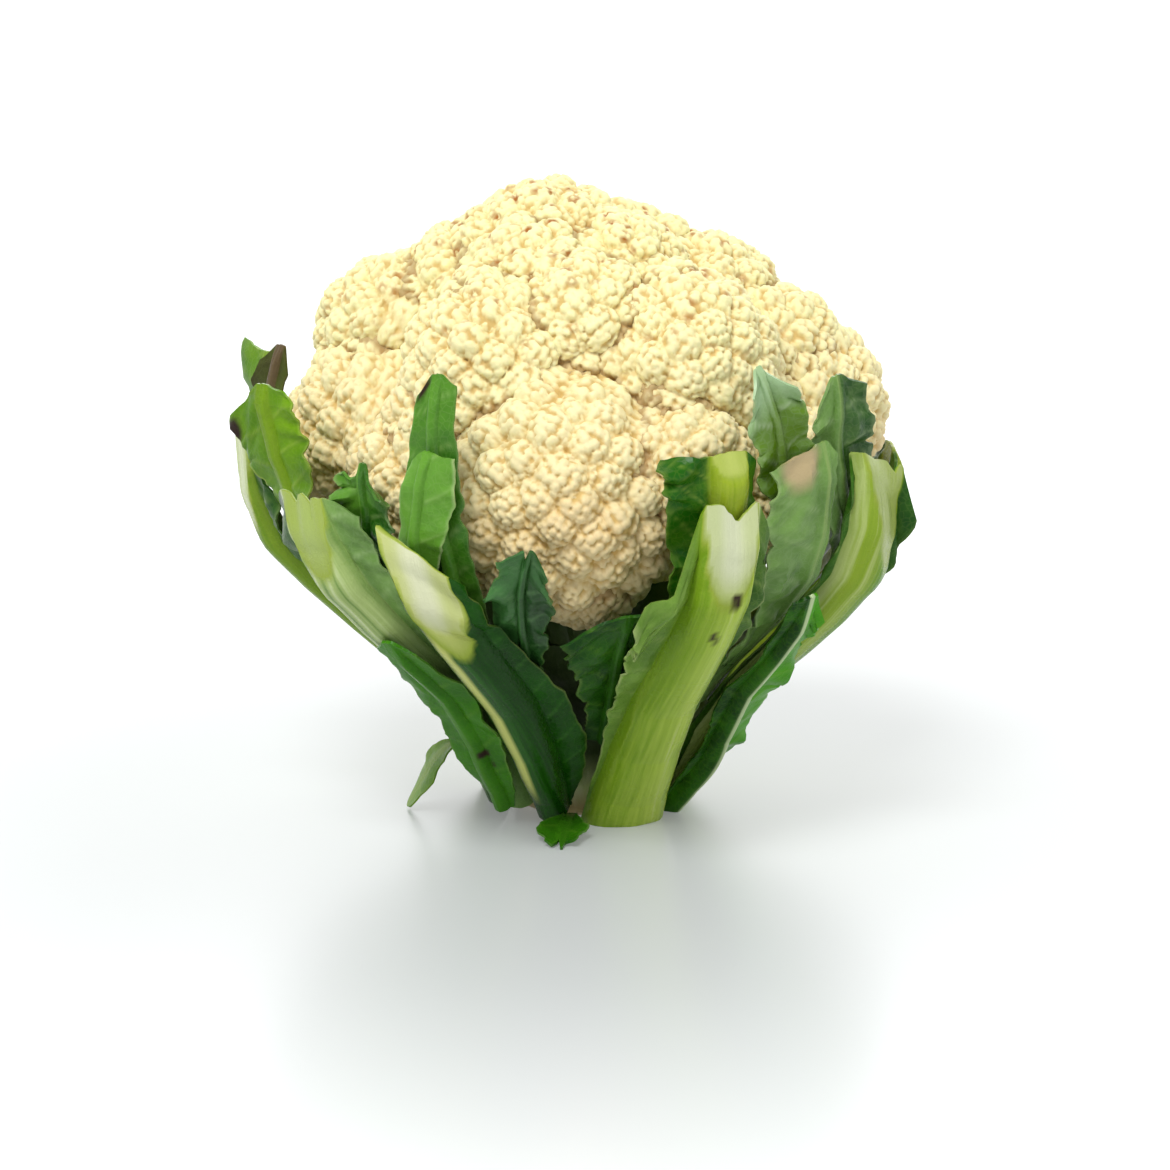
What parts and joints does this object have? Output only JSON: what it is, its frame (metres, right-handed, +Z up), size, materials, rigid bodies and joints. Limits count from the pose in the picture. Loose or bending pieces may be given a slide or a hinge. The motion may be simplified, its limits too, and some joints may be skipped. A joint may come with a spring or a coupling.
{
  "type": "cauliflower",
  "caption": "Trimmed head of cauliflower: a dome of florets on a cut stalk, wrapped in sliced green leaves with thick pale midribs.",
  "frame": {"origin": "middle of the flat cut face of the stalk, on the surface that the head stands on", "axes": "+Z up through the curd, -Y towards the viewer of the picture's side, +X to that viewer's right"},
  "size_m": [0.2012, 0.196, 0.1886],
  "materials": {
    "curd": "matt, creamy florets",
    "stalk": "moist pale green flesh",
    "leaf": "waxy satin leaf"
  },
  "bodies": {
    "root": {"curd": "curd", "stalk": "stalk", "leaf_front_right": "leaf", "leaf_right_low": "leaf", "leaf_right_rib": "leaf", "leaf_front_left": "leaf", "leaf_left_rib": "leaf", "leaf_left_low": "leaf", "leaf_far_left": "leaf", "leaf_back_1": "leaf", "leaf_back_2": "leaf", "leaf_back_3": "leaf", "leaf_back_4": "leaf", "leaf_inner_right": "leaf", "leaf_mid_right": "leaf", "leaf_right_top": "leaf", "leaf_right_curl": "leaf", "leaf_middle": "leaf", "leaf_middle_curl": "leaf", "leaf_left_top": "leaf", "leaf_inner_left": "leaf", "leaf_inner_left_low": "leaf", "leaf_left_curl": "leaf", "leaf_far_left_dark": "leaf", "leaf_inner_back_1": "leaf", "leaf_inner_back_2": "leaf", "leaf_inner_back_3": "leaf", "leaf_inner_back_4": "leaf", "leaf_inner_back_5": "leaf", "leaf_foot_front": "leaf", "leaf_foot_left": "leaf"}
  },
  "joints": []
}
